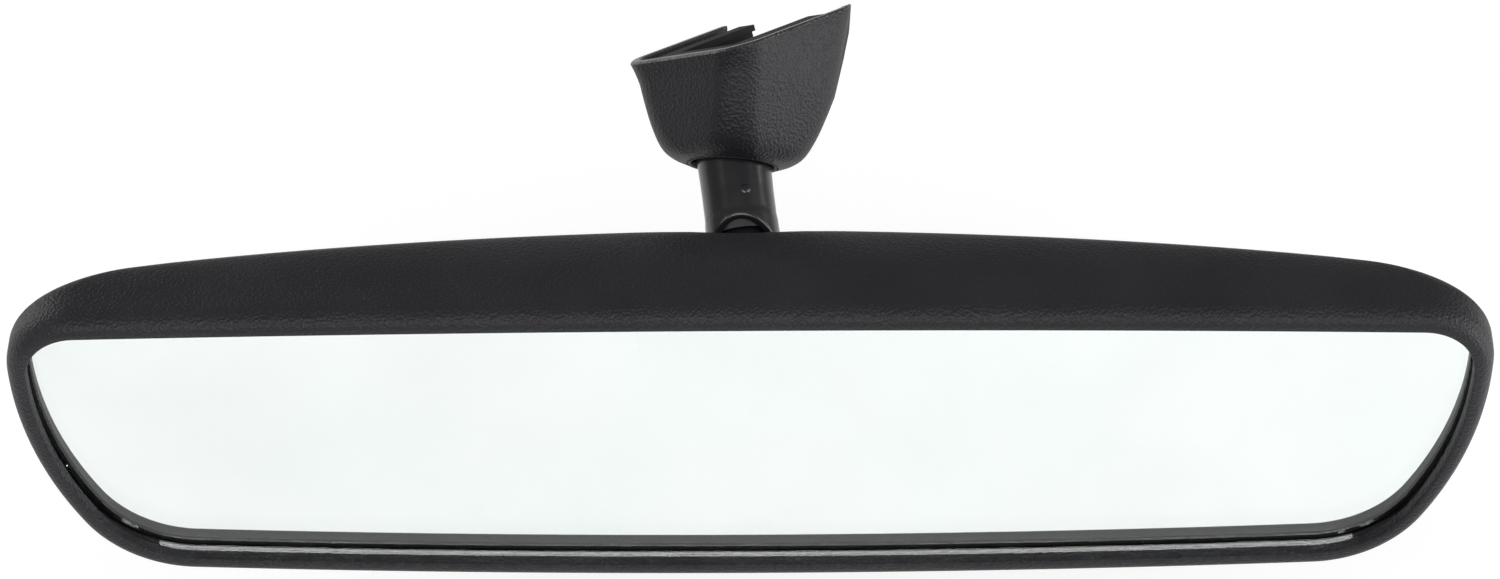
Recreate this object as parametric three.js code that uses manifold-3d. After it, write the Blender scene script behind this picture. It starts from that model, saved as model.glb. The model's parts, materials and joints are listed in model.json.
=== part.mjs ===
// Interior rearview mirror: a wide one-piece mirror head on a short double-ball stem, with a
// flared windscreen mount. Millimetres, +Z up. The glass faces -Y and the windscreen is on +Y.
// The origin is the centre of the bracket's seat pad, where the windscreen button rests.
import * as THREE from "three";
import { mergeVertices } from "three/addons/utils/BufferGeometryUtils.js";
import Module from "manifold-3d";

const wasm = await Module();
wasm.setup();

// ---------------------------------------------------------------- driving dimensions
const deg = Math.PI / 180;

// Outline of the head, seen from the driver. Every stretch is an arc, tangent to the next.
const head = {
  topZ: 32.4,
  topRadius: 5200,
  topCornerX: 112.8,
  topCornerRadius: 12.7,
  sideRadius: 70,
  sideSweep: 30 * deg,
  lowerCornerRadius: 23,
  bottomRadius: 2200,
  wall: 2.2,
};
const halfWidth = head.topCornerX + head.topCornerRadius;

// Front lip of the case: how far in from the outline, and how far back from the front.
const lip = { width: 3.7, crest: 2.7, fillet: 4.6, inner: 0.9, back: 2.4, groove: 2.2 };

// Depth of the case behind its front, at the middle and how much less it is at the ends.
const depth = { boss: 30, shoulder: 12.2, shoulderDrop: 4.6, round: 7.2, roundDrop: 4.2, power: 2.4 };
const shoulderReach = 9;

// Boss at the back of the case, round the lower stud.
const boss = { outer: 9, inner: 8, hole: 4.2 };

// Ball joints and stem.
const ball = { radius: 5, neck: 2.6, shank: 3 };
const gap = 0.25;
const liner = {
  inner: ball.radius + gap,
  outer: ball.radius + gap + 0.4,
  halfAngle: 42 * deg,
};
const seatSocket = liner.outer + gap;
const lowerBall = new THREE.Vector3(-1.1, 39.5, 11.5);
const lowerStud = { flangeZ: 7.9, flangeRadius: 4.6, flangeThick: 1.3, shankEnd: 23.4 };
const stem = {
  length: 17.7,
  lean: 58 * deg,
  turn: -8 * deg,
  bore: 5.55,
  waist: 6.3,
  end: 6.55,
  top: 6.45,
  lipReach: 2.6,
};
const seat = { radius: stem.bore - gap, floor: seatSocket + 0.8 };
const notch = { halfWidth: 6, apex: 4.5, turn: -9 * deg };
const coil = { wire: 0.45, radius: 4, turns: 1.75 };

// Windscreen mount: a square flared cup around a channel bracket.
const mount = {
  lean: 52 * deg,
  turn: 4.7 * deg,
  twist: 40.4 * deg,
  slant: 25.7 * deg,
  rimZ: 22.2,
  wall: 1.8,
  holeRadius: 7.3,
  holeZ: -1.9,
};

// The low stretch of the cup's rim, where the windscreen button comes in.
const entry = { drop: 4.4, side: 13, from: 11, to: 22 };

// The cup's section by height above its hole: side of the rounded square, and its corner radius.
const cupSections = [
  { height: 0.2, side: 16.4, corner: 7.8 },
  { height: 1, side: 19.4, corner: 7.2 },
  { height: 2.6, side: 21.9, corner: 6.7 },
  { height: 6, side: 24.2, corner: 6.2 },
  { height: 10, side: 26.2, corner: 6 },
  { height: 13.5, side: 27.8, corner: 6 },
];
const cupMouth = { side: 30.5, corner: 6 };

// The channel bracket. Its top face lies below the rim's plane; the other levels are below that face.
const bracket = {
  proud: -0.5,
  depth: 4.2,
  floor: 3.4,
  railInner: 7.6,
  railOuter: 10.4,
  lowEnd: -16,
  highEnd: 10.8,
  channelStart: -9.2,
  lipIn: 0.9,
  lipThick: 1.1,
  bossRadius: 6.2,
  bossZ: 11.4,
  counterbore: 5.9,
  threadDepth: 4.6,
};
const upperStud = { flangeZ: 5.6, flangeRadius: 3.6, flangeThick: 0.9, shankEnd: bracket.bossZ + 4.2 };
const pad = { halfWidth: 5, halfLength: 6, height: 0.4, alongSlope: 1.5 };
const hairpin = { wire: 0.5, clearance: 0.3, bend: 2.4, legEnd: 9 };
const clip = { sheet: 0.6, from: 1, to: 5, low: -5, high: -0.8 };

// Fasteners.
const nut = { acrossFlats: 9.4, height: 3, bore: ball.shank + gap };
const washer = { outer: 5.2, thick: 0.9 };
const plate = {
  halfX: 27,
  halfZ: 13,
  corner: 4,
  belowBall: 3,
  front: 23,
  thick: 1.6,
  screwX: 20,
  screwZ: 8.5,
};
const screw = { head: 3.1, headHeight: 1.8, shank: 1.35, length: 4.2, pilot: 1.7, slot: 0.7 };
const stackGap = 0.3;
const post = { radius: 3.4, face: plate.front + plate.thick + stackGap, pilotDepth: 2.5 };

// Glass and what backs it.
const glass = { inset: 2.5, front: 2.65, thick: 2.6, bevel: 1.5, bevelDrop: 0.9 };
const backing = { inset: 2.9, front: glass.front + glass.thick + stackGap, thick: 0.5 };
const foam = { inset: 7, front: backing.front + backing.thick + stackGap, thick: 1.2 };
const carrier = {
  inset: 8,
  front: foam.front + foam.thick + stackGap,
  thick: 1.8,
  rib: 1.6,
  ribHeight: 2.6,
  ribLevel: 12,
  ribReach: 98,
  ribSpacing: 28,
  legThick: 2.8,
  legWidth: 6,
  legOut: 4.6,
};

// ---------------------------------------------------------------- materials
const finish = (color, roughness, metalness) =>
  new THREE.MeshStandardMaterial({ color, roughness, metalness });
const materials = {
  grained: finish(0x2a2a2e, 0.62, 0),
  smooth: finish(0x232427, 0.38, 0),
  mirror: finish(0xf1f4f3, 0.03, 1),
  silver: finish(0x9ea2a4, 0.4, 0.6),
  foam: finish(0x3b3c3e, 0.95, 0),
  innerPlastic: finish(0x1f2022, 0.6, 0),
  acetal: finish(0x2f2f33, 0.35, 0),
  zinc: finish(0x55575a, 0.42, 0.8),
  steel: finish(0x9a9ca0, 0.35, 0.9),
  springSteel: finish(0x6b6e74, 0.3, 0.95),
};

// ---------------------------------------------------------------- geometry helpers

// A three.js geometry as a manifold-3d solid.
function toSolid(geometry) {
  const bare = geometry.index ? geometry.toNonIndexed() : geometry.clone();
  bare.deleteAttribute("normal");
  bare.deleteAttribute("uv");
  const merged = mergeVertices(bare, 1e-4);
  const vertProperties = new Float32Array(merged.attributes.position.array);
  const triVerts = new Uint32Array(merged.index.array);
  return new wasm.Manifold(new wasm.Mesh({ numProp: 3, vertProperties, triVerts }));
}

// A manifold-3d solid as a three.js geometry.
function toGeometry(solid) {
  const { vertProperties, triVerts } = solid.getMesh();
  const geometry = new THREE.BufferGeometry();
  geometry.setAttribute("position", new THREE.BufferAttribute(new Float32Array(vertProperties), 3));
  geometry.setIndex(new THREE.BufferAttribute(new Uint32Array(triVerts), 1));
  geometry.computeVertexNormals();
  return geometry;
}

const cut = (body, ...tools) => toGeometry(tools.reduce((s, t) => s.subtract(toSolid(t)), toSolid(body)));
const join = (body, ...more) => toGeometry(more.reduce((s, t) => s.add(toSolid(t)), toSolid(body)));
const common = (body, other) => toGeometry(toSolid(body).intersect(toSolid(other)));

// A surface through rings of equal point count. The last ring joins the first, so it is a closed
// shell with a hole through it; with caps, the two end rings are closed by fans instead.
function loft(rings, caps = false) {
  const count = rings[0].length;
  const positions = rings.flat().flatMap((p) => [p.x, p.y, p.z]);
  const index = [];
  const last = caps ? rings.length - 1 : rings.length;
  for (let r = 0; r < last; r++) {
    const next = (r + 1) % rings.length;
    for (let i = 0; i < count; i++) {
      const j = (i + 1) % count;
      const [a, b, c, d] = [r * count + i, r * count + j, next * count + j, next * count + i];
      index.push(a, b, c, a, c, d);
    }
  }
  if (caps) {
    for (const [r, flip] of [[0, true], [rings.length - 1, false]]) {
      const centre = positions.length / 3;
      const sum = rings[r].reduce((s, p) => s.add(p), new THREE.Vector3()).divideScalar(count);
      positions.push(sum.x, sum.y, sum.z);
      for (let i = 0; i < count; i++) {
        const [p, q] = [r * count + i, r * count + ((i + 1) % count)];
        index.push(centre, flip ? q : p, flip ? p : q);
      }
    }
  }
  const geometry = new THREE.BufferGeometry();
  geometry.setAttribute("position", new THREE.Float32BufferAttribute(positions, 3));
  geometry.setIndex(index);
  return toSolid(geometry).volume() < 0 ? flipped(geometry) : geometry;
}

function flipped(geometry) {
  const turned = geometry.clone();
  const index = turned.index.array;
  for (let i = 0; i < index.length; i += 3) [index[i + 1], index[i + 2]] = [index[i + 2], index[i + 1]];
  return turned;
}

// A closed turned profile of [radius, height] pairs, about +Z.
function turned(profile, segments = 32) {
  const points = profile.map(([r, z]) => new THREE.Vector2(r, z));
  points.push(points[0].clone());
  const geometry = new THREE.LatheGeometry(points, segments);
  geometry.rotateX(Math.PI / 2);
  return toSolid(geometry).volume() < 0 ? flipped(geometry) : geometry;
}

function box(x0, x1, y0, y1, z0, z1) {
  const geometry = new THREE.BoxGeometry(x1 - x0, y1 - y0, z1 - z0);
  return geometry.translate((x0 + x1) / 2, (y0 + y1) / 2, (z0 + z1) / 2);
}

// A cylinder along +Z between two heights.
function rod(radius, z0, z1, segments = 24) {
  const geometry = new THREE.CylinderGeometry(radius, radius, z1 - z0, segments);
  return geometry.rotateX(Math.PI / 2).translate(0, 0, (z0 + z1) / 2);
}

// Points of an arc of a sphere's profile, from one polar angle to another, as [radius, height].
function arc(radius, from, to, steps) {
  return Array.from({ length: steps + 1 }, (_, i) => {
    const t = from + ((to - from) * i) / steps;
    return [radius * Math.sin(t), radius * Math.cos(t)];
  });
}

// ---------------------------------------------------------------- outline of the head

// The right half of the outline as arcs: centre, radius, and the angles of the outward normal.
function outlineArcs() {
  const h = head;
  const topAngle = Math.asin(h.topCornerX / (h.topRadius - h.topCornerRadius));
  const topCentre = h.topZ - h.topRadius;
  const cornerZ = topCentre + (h.topRadius - h.topCornerRadius) * Math.cos(topAngle);
  const sideX = halfWidth - h.sideRadius;
  const inner = h.sideRadius - h.lowerCornerRadius;
  const lowerX = sideX + inner * Math.cos(h.sideSweep);
  const lowerZ = cornerZ - inner * Math.sin(h.sideSweep);
  const bottomAngle = Math.asin(lowerX / (h.bottomRadius - h.lowerCornerRadius));
  const bottomCentre = lowerZ + (h.bottomRadius - h.lowerCornerRadius) * Math.cos(bottomAngle);
  const quarter = Math.PI / 2;
  const topEnd = quarter - topAngle;
  const bottomStart = bottomAngle - quarter;
  return [
    { x: 0, z: topCentre, r: h.topRadius, from: quarter, to: topEnd, steps: 5 },
    { x: h.topCornerX, z: cornerZ, r: h.topCornerRadius, from: topEnd, to: 0, steps: 5 },
    { x: sideX, z: cornerZ, r: h.sideRadius, from: 0, to: -h.sideSweep, steps: 3 },
    { x: lowerX, z: lowerZ, r: h.lowerCornerRadius, from: -h.sideSweep, to: bottomStart, steps: 5 },
    { x: 0, z: bottomCentre, r: h.bottomRadius, from: bottomStart, to: -quarter, steps: 5 },
  ];
}

// The outline as [x, z] points all the way round, moved in by a distance.
function outline(inset) {
  const right = outlineArcs().flatMap(({ x, z, r, from, to, steps }) =>
    Array.from({ length: steps }, (_, i) => {
      const t = from + ((to - from) * i) / steps;
      return [x + (r - inset) * Math.cos(t), z + (r - inset) * Math.sin(t)];
    }),
  );
  const foot = outlineArcs().at(-1);
  const bottom = [0, foot.z - foot.r + inset];
  const left = right.slice(1).reverse().map(([x, z]) => [-x, z]);
  return [...right, bottom, ...left];
}

const ringAt = (points, y) => points.map(([x, z]) => new THREE.Vector3(x, y, z));

// A flat plate with the head's outline, between two depths.
const outlinePlate = ({ inset, front, thick }) =>
  loft([ringAt(outline(inset), front), ringAt(outline(inset), front + thick)], true);

// ---------------------------------------------------------------- mirror case

const taper = (x) => Math.pow(Math.min(1, Math.abs(x) / halfWidth), depth.power);
const shoulderDepth = (x) => depth.shoulder - depth.shoulderDrop * taper(x);
const roundDepth = (x) => depth.round - depth.roundDrop * taper(x);

// The direction from the ball's centre line in which a point of the outline is drawn to the boss.
const aroundBall = (x, z) => Math.atan2((z - lowerBall.z) / head.topZ, (x - lowerBall.x) / halfWidth);

// A ring of the case's back, at a distance in from the outline or at a share of the way to the boss.
function backRing(offset, bossRadius, distance, share = null) {
  return outline(offset).map(([x, z]) => {
    const around = aroundBall(x, z);
    const bossX = lowerBall.x + bossRadius * Math.cos(around);
    const bossZ = lowerBall.z + bossRadius * Math.sin(around);
    const reach = Math.hypot(x - bossX, z - bossZ);
    const start = shoulderReach / reach;
    const g = share === null ? distance / reach : start + (1 - start) * share;
    const near = Math.min(1, (g * reach) / shoulderReach);
    const rounding = roundDepth(x) * Math.sqrt(1 - (1 - near) ** 2);
    const rise = depth.boss - shoulderDepth(x) - roundDepth(x);
    const dome = rise * (1 - (1 - g) ** depth.power);
    const y = shoulderDepth(x) + rounding + dome - offset;
    return new THREE.Vector3(x + (bossX - x) * g, y, z + (bossZ - z) * g);
  });
}

// A round ring about the ball's centre line, with a point for each point of the outline.
function circleRing(radius, y) {
  return outline(0).map(([x, z]) => {
    const around = aroundBall(x, z);
    const [across, up] = [radius * Math.cos(around), radius * Math.sin(around)];
    return new THREE.Vector3(lowerBall.x + across, y, lowerBall.z + up);
  });
}

function caseGeometry() {
  const filletSteps = 3;
  const fillet = Array.from({ length: filletSteps }, (_, i) => {
    const t = ((i + 1) / filletSteps) * (Math.PI / 2);
    return ringAt(outline(lip.crest * (1 - Math.sin(t))), lip.fillet * (1 - Math.cos(t)));
  });
  const { wall } = head;
  const distances = [0, 0.4, 1.7, 4.4, shoulderReach];
  const shares = [0.3, 0.65, 1];
  const rings = [
    ringAt(outline(lip.width), lip.back),
    ringAt(outline(lip.width), lip.inner),
    ringAt(outline(lip.width - 0.3), 0.3),
    ringAt(outline(lip.crest), 0),
    ...fillet,
    ...distances.map((d) => backRing(0, boss.outer, d)),
    ...shares.map((s) => backRing(0, boss.outer, 0, s)),
    circleRing(boss.hole, depth.boss),
    circleRing(boss.hole, post.face),
    circleRing(boss.inner, post.face),
    ...[1, 0.5].map((s) => backRing(wall, boss.inner, 0, s)),
    ...[shoulderReach, 3, 0].map((d) => backRing(wall, boss.inner, d)),
    ringAt(outline(lip.groove), lip.back),
  ];
  const shell = loft(rings);
  const postEnd = depth.boss - 2;
  const standing = (radius, y0, y1, segments) =>
    plateCorners().map(([x, z]) => rod(radius, y0, y1, segments).rotateX(-Math.PI / 2).translate(x, 0, z));
  const posts = standing(post.radius, post.face, postEnd, 16);
  const pilots = standing(screw.pilot, post.face - 0.5, post.face + post.pilotDepth, 12);
  return cut(join(shell, ...posts), ...pilots);
}

// Where the four screws go through the stud plate, as [x, z].
function plateCorners() {
  const middle = lowerBall.z - plate.belowBall;
  const corners = [[-1, 1], [1, 1], [-1, -1], [1, -1]];
  return corners.map(([i, k]) => [lowerBall.x + i * plate.screwX, middle + k * plate.screwZ]);
}

// ---------------------------------------------------------------- glass stack

function glassGeometry() {
  const { inset, front, thick, bevel, bevelDrop } = glass;
  return loft(
    [
      ringAt(outline(inset + bevel), front),
      ringAt(outline(inset), front + bevelDrop),
      ringAt(outline(inset), front + thick),
    ],
    true,
  );
}

// The glass carrier: a plate with stiffening ribs and four legs that stand on the stud plate.
function carrierGeometry() {
  const c = carrier;
  const rooted = c.front + 1;
  const ribTop = c.front + c.thick + c.ribHeight;
  const body = outlinePlate(c);
  const across = [-1, 1].map((s) => {
    const z = s * c.ribLevel;
    return box(-c.ribReach, c.ribReach, rooted, ribTop, z - c.rib / 2, z + c.rib / 2);
  });
  const upright = [-3, -2, -1, 1, 2, 3].map((i) => {
    const x = i * c.ribSpacing;
    return box(x - c.rib / 2, x + c.rib / 2, rooted, ribTop, -c.ribLevel, c.ribLevel);
  });
  const legs = plateCorners().map(([x, z]) => {
    const middle = x + Math.sign(x - lowerBall.x) * c.legOut;
    const [x0, x1] = [middle - c.legThick / 2, middle + c.legThick / 2];
    return box(x0, x1, rooted, plate.front - stackGap, z - c.legWidth / 2, z + c.legWidth / 2);
  });
  return join(body, ...across, ...upright, ...legs);
}

// ---------------------------------------------------------------- stud plate and fasteners

// A pressed plate with round corners, a hole for the stud and four screw holes.
function studPlate() {
  const { halfX, halfZ, corner, belowBall, front, thick } = plate;
  const middleZ = lowerBall.z - belowBall;
  const [x, z] = [halfX - corner, halfZ - corner];
  const shape = new THREE.Shape();
  shape.moveTo(-x, -halfZ);
  shape.lineTo(x, -halfZ);
  shape.absarc(x, -z, corner, -Math.PI / 2, 0);
  shape.lineTo(halfX, z);
  shape.absarc(x, z, corner, 0, Math.PI / 2);
  shape.lineTo(-x, halfZ);
  shape.absarc(-x, z, corner, Math.PI / 2, Math.PI);
  shape.lineTo(-halfX, -z);
  shape.absarc(-x, -z, corner, Math.PI, 1.5 * Math.PI);
  const hole = (holeX, holeZ, radius) =>
    shape.holes.push(new THREE.Path().absarc(holeX, holeZ, radius, 0, 2 * Math.PI, true));
  hole(0, belowBall, ball.shank + gap);
  for (const [screwX, screwZ] of plateCorners()) {
    hole(screwX - lowerBall.x, screwZ - middleZ, screw.shank + gap);
  }
  const flat = new THREE.ExtrudeGeometry(shape, { depth: thick, bevelEnabled: false, curveSegments: 8 });
  return flat.rotateX(Math.PI / 2).translate(lowerBall.x, front + thick, middleZ);
}

function hexNut() {
  const hexagon = new THREE.Shape();
  const corner = nut.acrossFlats / Math.sqrt(3);
  for (let i = 0; i < 6; i++) {
    const [x, y] = [corner * Math.cos(i * 60 * deg), corner * Math.sin(i * 60 * deg)];
    if (i === 0) hexagon.moveTo(x, y);
    else hexagon.lineTo(x, y);
  }
  hexagon.closePath();
  hexagon.holes.push(new THREE.Path().absarc(0, 0, nut.bore, 0, 2 * Math.PI, true));
  return new THREE.ExtrudeGeometry(hexagon, { depth: nut.height, bevelEnabled: false, curveSegments: 10 });
}

function flatWasher() {
  const { outer, thick } = washer;
  return turned([[nut.bore, 0], [outer, 0], [outer, thick], [nut.bore, thick]], 24);
}

// A pan-head screw pointing along +Z from its head's seat, with a cross recess.
function panScrew() {
  const { head: radius, headHeight, shank, length, slot } = screw;
  const profile = [
    [0, -headHeight],
    [radius * 0.6, -headHeight],
    [radius, -headHeight * 0.45],
    [radius, 0],
    [shank, 0],
    [shank, length - 1],
    [0, length],
  ];
  const reach = radius * 0.55;
  const recess = (x, y) => box(-x, x, -y, y, -headHeight - 0.1, -headHeight / 2);
  return cut(turned(profile, 12), recess(slot / 2, reach), recess(reach, slot / 2));
}

// ---------------------------------------------------------------- ball joints

// A ball stud with its ball at the origin and its shank along +Z.
function ballStud({ flangeZ, flangeRadius, flangeThick, shankEnd }) {
  const tip = 0.6;
  const neckAngle = Math.asin(ball.neck / ball.radius);
  const sphere = arc(ball.radius, Math.PI, neckAngle, 10);
  sphere[0] = [0, -ball.radius];
  return turned(
    [
      ...sphere,
      [ball.neck, flangeZ],
      [flangeRadius, flangeZ],
      [flangeRadius, flangeZ + flangeThick],
      [ball.shank, flangeZ + flangeThick],
      [ball.shank, shankEnd - tip],
      [ball.shank - tip, shankEnd],
      [0, shankEnd],
    ],
    20,
  );
}

// A thin spherical cup over the +Z side of a ball at the origin.
function ballLiner() {
  const outer = arc(liner.outer, 0, liner.halfAngle, 4);
  const inner = arc(liner.inner, liner.halfAngle, 0, 4);
  outer[0] = [0, liner.outer];
  inner[inner.length - 1] = [0, liner.inner];
  return turned([...outer, ...inner], 20);
}

// A seat in the stem's bore: a spherical socket facing the ball at the origin, on its +Z side.
function ballSeat() {
  const rimAngle = Math.asin((seat.radius - 0.3) / seatSocket);
  const socket = arc(seatSocket, 0, rimAngle, 4);
  socket[0] = [0, seatSocket];
  const rimZ = socket.at(-1)[1];
  return turned([...socket, [seat.radius, rimZ], [seat.radius, seat.floor], [0, seat.floor]], 20);
}

// ---------------------------------------------------------------- stem

// The stem's tube: lower ball at the origin, upper ball at +Z. Both ends close round their balls, and
// an arched notch at the lower end faces the driver.
function tubeGeometry() {
  const { length, bore, waist, end, top, lipReach } = stem;
  const edge = 0.5;
  const cup = ball.radius + gap;
  const lowerCup = arc(cup, Math.acos(-lipReach / cup), Math.PI / 2, 4);
  const upperCup = [...lowerCup].reverse().map(([r, z]) => [r, length - z]);
  const body = turned(
    [
      ...lowerCup,
      [bore, 0.4],
      [bore, length - 0.8],
      ...upperCup,
      [top - edge, length + lipReach],
      [top, length + lipReach - edge],
      [top, length - 1],
      [waist, length - 7],
      [waist + 0.08, 6],
      [end, 0.5],
      [end, -lipReach + edge],
      [end - edge, -lipReach],
    ],
    28,
  );
  const arch = new THREE.Shape();
  arch.moveTo(-notch.halfWidth, -lipReach - 1);
  arch.lineTo(notch.halfWidth, -lipReach - 1);
  arch.lineTo(notch.halfWidth, notch.apex - notch.halfWidth);
  arch.absarc(0, notch.apex - notch.halfWidth, notch.halfWidth, 0, Math.PI, false);
  arch.closePath();
  const through = { depth: end + 1, bevelEnabled: false, curveSegments: 14 };
  const opening = new THREE.ExtrudeGeometry(arch, through);
  return cut(body, opening.rotateX(Math.PI / 2).rotateZ(notch.turn));
}

// The compression spring between the two seats, about +Z.
function stemSpring() {
  const { wire, radius, turns } = coil;
  const z0 = seat.floor + stackGap + wire;
  const z1 = stem.length - z0;
  const steps = 40;
  const points = Array.from({ length: steps + 1 }, (_, i) => {
    const t = i / steps;
    const angle = t * turns * 2 * Math.PI;
    return new THREE.Vector3(radius * Math.cos(angle), radius * Math.sin(angle), z0 + (z1 - z0) * t);
  });
  const section = new THREE.Shape().absarc(0, 0, wire, 0, 2 * Math.PI);
  return new THREE.ExtrudeGeometry(section, {
    extrudePath: new THREE.CatmullRomCurve3(points),
    steps: 28,
    curveSegments: 3,
    bevelEnabled: false,
  });
}

// ---------------------------------------------------------------- windscreen mount

// A rounded square about the Z axis, as a ring of points at a height.
function squareRing(side, corner, height) {
  const steps = 5;
  const flat = side / 2 - corner;
  const quadrants = [[1, 1, 0], [-1, 1, 90], [-1, -1, 180], [1, -1, 270]];
  return quadrants.flatMap(([i, k, start]) =>
    Array.from({ length: steps + 1 }, (_, s) => {
      const t = (start + (90 * s) / steps) * deg;
      const x = i * flat + corner * Math.cos(t);
      const y = k * flat + corner * Math.sin(t);
      return new THREE.Vector3(x, y, typeof height === "function" ? height(y) : height);
    }),
  );
}

const rimHeight = (y) => mount.rimZ + Math.tan(mount.slant) * y;

// Rings of the cup's flared side from its foot up, moved in by a distance.
function cupRings(inset, top) {
  const rings = cupSections.map(({ height, side, corner }, i) => {
    const z = mount.holeZ + height + inset * (1 - i / cupSections.length);
    return squareRing(side - 2 * inset, Math.max(1.2, corner - inset), z);
  });
  const { side, corner } = cupMouth;
  return [...rings, squareRing(side - 2 * inset, Math.max(1.2, corner - inset), top)];
}

function coverGeometry() {
  const { holeRadius, holeZ, wall } = mount;
  const hole = (r, z) => squareRing(2 * r, r, z);
  const outer = cupRings(0, rimHeight);
  const inner = cupRings(wall, rimHeight).slice(2);
  const rings = [
    ...inner.reverse(),
    hole(holeRadius, holeZ + wall + 0.4),
    hole(holeRadius, holeZ + 0.2),
    hole(holeRadius + 0.2, holeZ),
    ...outer,
  ];
  const low = box(-cupMouth.side, entry.side, entry.from, entry.to, -entry.drop, 5);
  return cut(loft(rings), low.rotateX(mount.slant).translate(0, 0, mount.rimZ));
}

// Moves a shape from the windscreen plane's own directions (across, up the slope and out of the
// plane, measured from the bracket's top face) into the mount's.
const onSlope = (geometry) =>
  geometry.rotateX(mount.slant).translate(0, 0, mount.rimZ + bracket.proud / Math.cos(mount.slant));

// A box in the windscreen plane's own directions.
const slopeBox = (...sides) => onSlope(box(...sides));

// The same box, mirrored to the left when side is -1.
const sideBox = (side, x0, x1, ...others) =>
  slopeBox(Math.min(side * x0, side * x1), Math.max(side * x0, side * x1), ...others);

function bracketGeometry() {
  const b = bracket;
  const under = -b.depth - b.floor;
  const block = slopeBox(-b.railOuter, b.railOuter, b.lowEnd, b.highEnd, under, 0);
  const channel = slopeBox(-b.railInner, b.railInner, b.channelStart, 30, -b.depth, 5);
  const [lipEdge, lipRoot] = [b.railInner - b.lipIn, b.railInner + 1];
  const lips = [-1, 1].map((side) =>
    sideBox(side, lipEdge, lipRoot, b.channelStart, b.highEnd, -b.lipThick, 0),
  );
  const [padLow, padHigh] = [pad.alongSlope - pad.halfLength, pad.alongSlope + pad.halfLength];
  const padTop = -b.depth + pad.height;
  const seatPad = slopeBox(-pad.halfWidth, pad.halfWidth, padLow, padHigh, -b.depth - 1, padTop);
  const studBoss = rod(b.bossRadius, b.bossZ, mount.rimZ - b.depth, 24);
  const counterbore = rod(b.counterbore, 0, b.bossZ, 24);
  const shaped = join(cut(join(block, studBoss), channel, counterbore), ...lips, seatPad);
  const threaded = cut(shaped, rod(ball.shank + gap, 0, b.bossZ + b.threadDepth, 20));
  const room = loft(cupRings(mount.wall + 0.35, 40), true);
  return common(threaded, room);
}

// The hairpin spring that grips the button's sides, lying under the rail lips.
function buttonSpring() {
  const { wire, clearance, bend, legEnd } = hairpin;
  const legX = bracket.railInner - wire - clearance;
  const start = bracket.channelStart + wire + 0.4;
  const level = -bracket.depth + wire + clearance;
  const p = (x, s) => new THREE.Vector3(x, s, level);
  const corner = (x, side) =>
    side < 0
      ? new THREE.QuadraticBezierCurve3(p(-x, start + bend), p(-x, start), p(-x + bend, start))
      : new THREE.QuadraticBezierCurve3(p(x - bend, start), p(x, start), p(x, start + bend));
  const route = new THREE.CurvePath();
  route.add(new THREE.LineCurve3(p(-legX, legEnd), p(-legX, start + bend)));
  route.add(corner(legX, -1));
  route.add(new THREE.LineCurve3(p(-legX + bend, start), p(legX - bend, start)));
  route.add(corner(legX, 1));
  route.add(new THREE.LineCurve3(p(legX, start + bend), p(legX, legEnd)));
  const section = new THREE.Shape().absarc(0, 0, wire, 0, 2 * Math.PI);
  return onSlope(
    new THREE.ExtrudeGeometry(section, {
      extrudePath: route,
      steps: 30,
      curveSegments: 3,
      bevelEnabled: false,
    }),
  );
}

// A spring-steel clip in the space between one rail and the cup's wall.
function coverClip(side) {
  const { sheet, from, to, low, high } = clip;
  const inside = bracket.railOuter + 0.35;
  const outside = cupMouth.side / 2 - mount.wall - 1;
  return join(
    sideBox(side, inside, inside + sheet, from, to, low, high),
    sideBox(side, outside - sheet, outside, from, to, low, high),
    sideBox(side, inside, outside, from, to, low, low + sheet),
  );
}

// ---------------------------------------------------------------- assembly

function named(name, geometry, material) {
  const mesh = new THREE.Mesh(geometry, material);
  mesh.name = name;
  return mesh;
}

// A group whose local +Z leans back from vertical, then turns towards +X, after a twist about +Z.
function leaning(position, lean, turn, twist) {
  const group = new THREE.Group();
  const turnAbout = new THREE.Matrix4().makeRotationZ(-turn);
  const leanBack = new THREE.Matrix4().makeRotationX(-lean);
  const twistAbout = new THREE.Matrix4().makeRotationZ(-twist);
  group.setRotationFromMatrix(turnAbout.multiply(leanBack).multiply(twistAbout));
  group.position.copy(position);
  return group;
}

// Glass, its backing and the carrier, in front of the stud plate.
function glassStack() {
  return [
    named("mirror_glass", glassGeometry(), materials.mirror),
    named("reflective_backing", outlinePlate(backing), materials.silver),
    named("foam_pad", outlinePlate(foam), materials.foam),
    named("glass_carrier", carrierGeometry(), materials.innerPlastic),
  ];
}

// The stud plate's four screws, driven from the front into the case's posts.
function plateScrews() {
  return plateCorners().map(([x, z], i) => {
    const mesh = named(`plate_screw_${i + 1}`, panScrew(), materials.steel);
    mesh.rotation.x = -Math.PI / 2;
    mesh.position.set(x, plate.front - stackGap, z);
    return mesh;
  });
}

// The lower stud with its washer and nut: built along +Z, then laid along -Y.
function lowerStudSet() {
  const stud = named("lower_ball_stud", ballStud(lowerStud), materials.zinc);
  stud.position.y = lowerBall.y;
  const washerMesh = named("lower_stud_washer", flatWasher(), materials.steel);
  washerMesh.position.y = plate.front - stackGap;
  const nutMesh = named("lower_stud_nut", hexNut(), materials.steel);
  nutMesh.position.y = washerMesh.position.y - washer.thick - stackGap;
  for (const mesh of [stud, washerMesh, nutMesh]) {
    mesh.rotation.x = Math.PI / 2;
    mesh.position.x = lowerBall.x;
    mesh.position.z = lowerBall.z;
  }
  return [washerMesh, nutMesh, stud];
}

function headGroup() {
  const group = new THREE.Group();
  group.add(named("mirror_case", caseGeometry(), materials.grained), ...glassStack());
  group.add(named("stud_plate", studPlate(), materials.steel), ...plateScrews(), ...lowerStudSet());
  return group;
}

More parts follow.
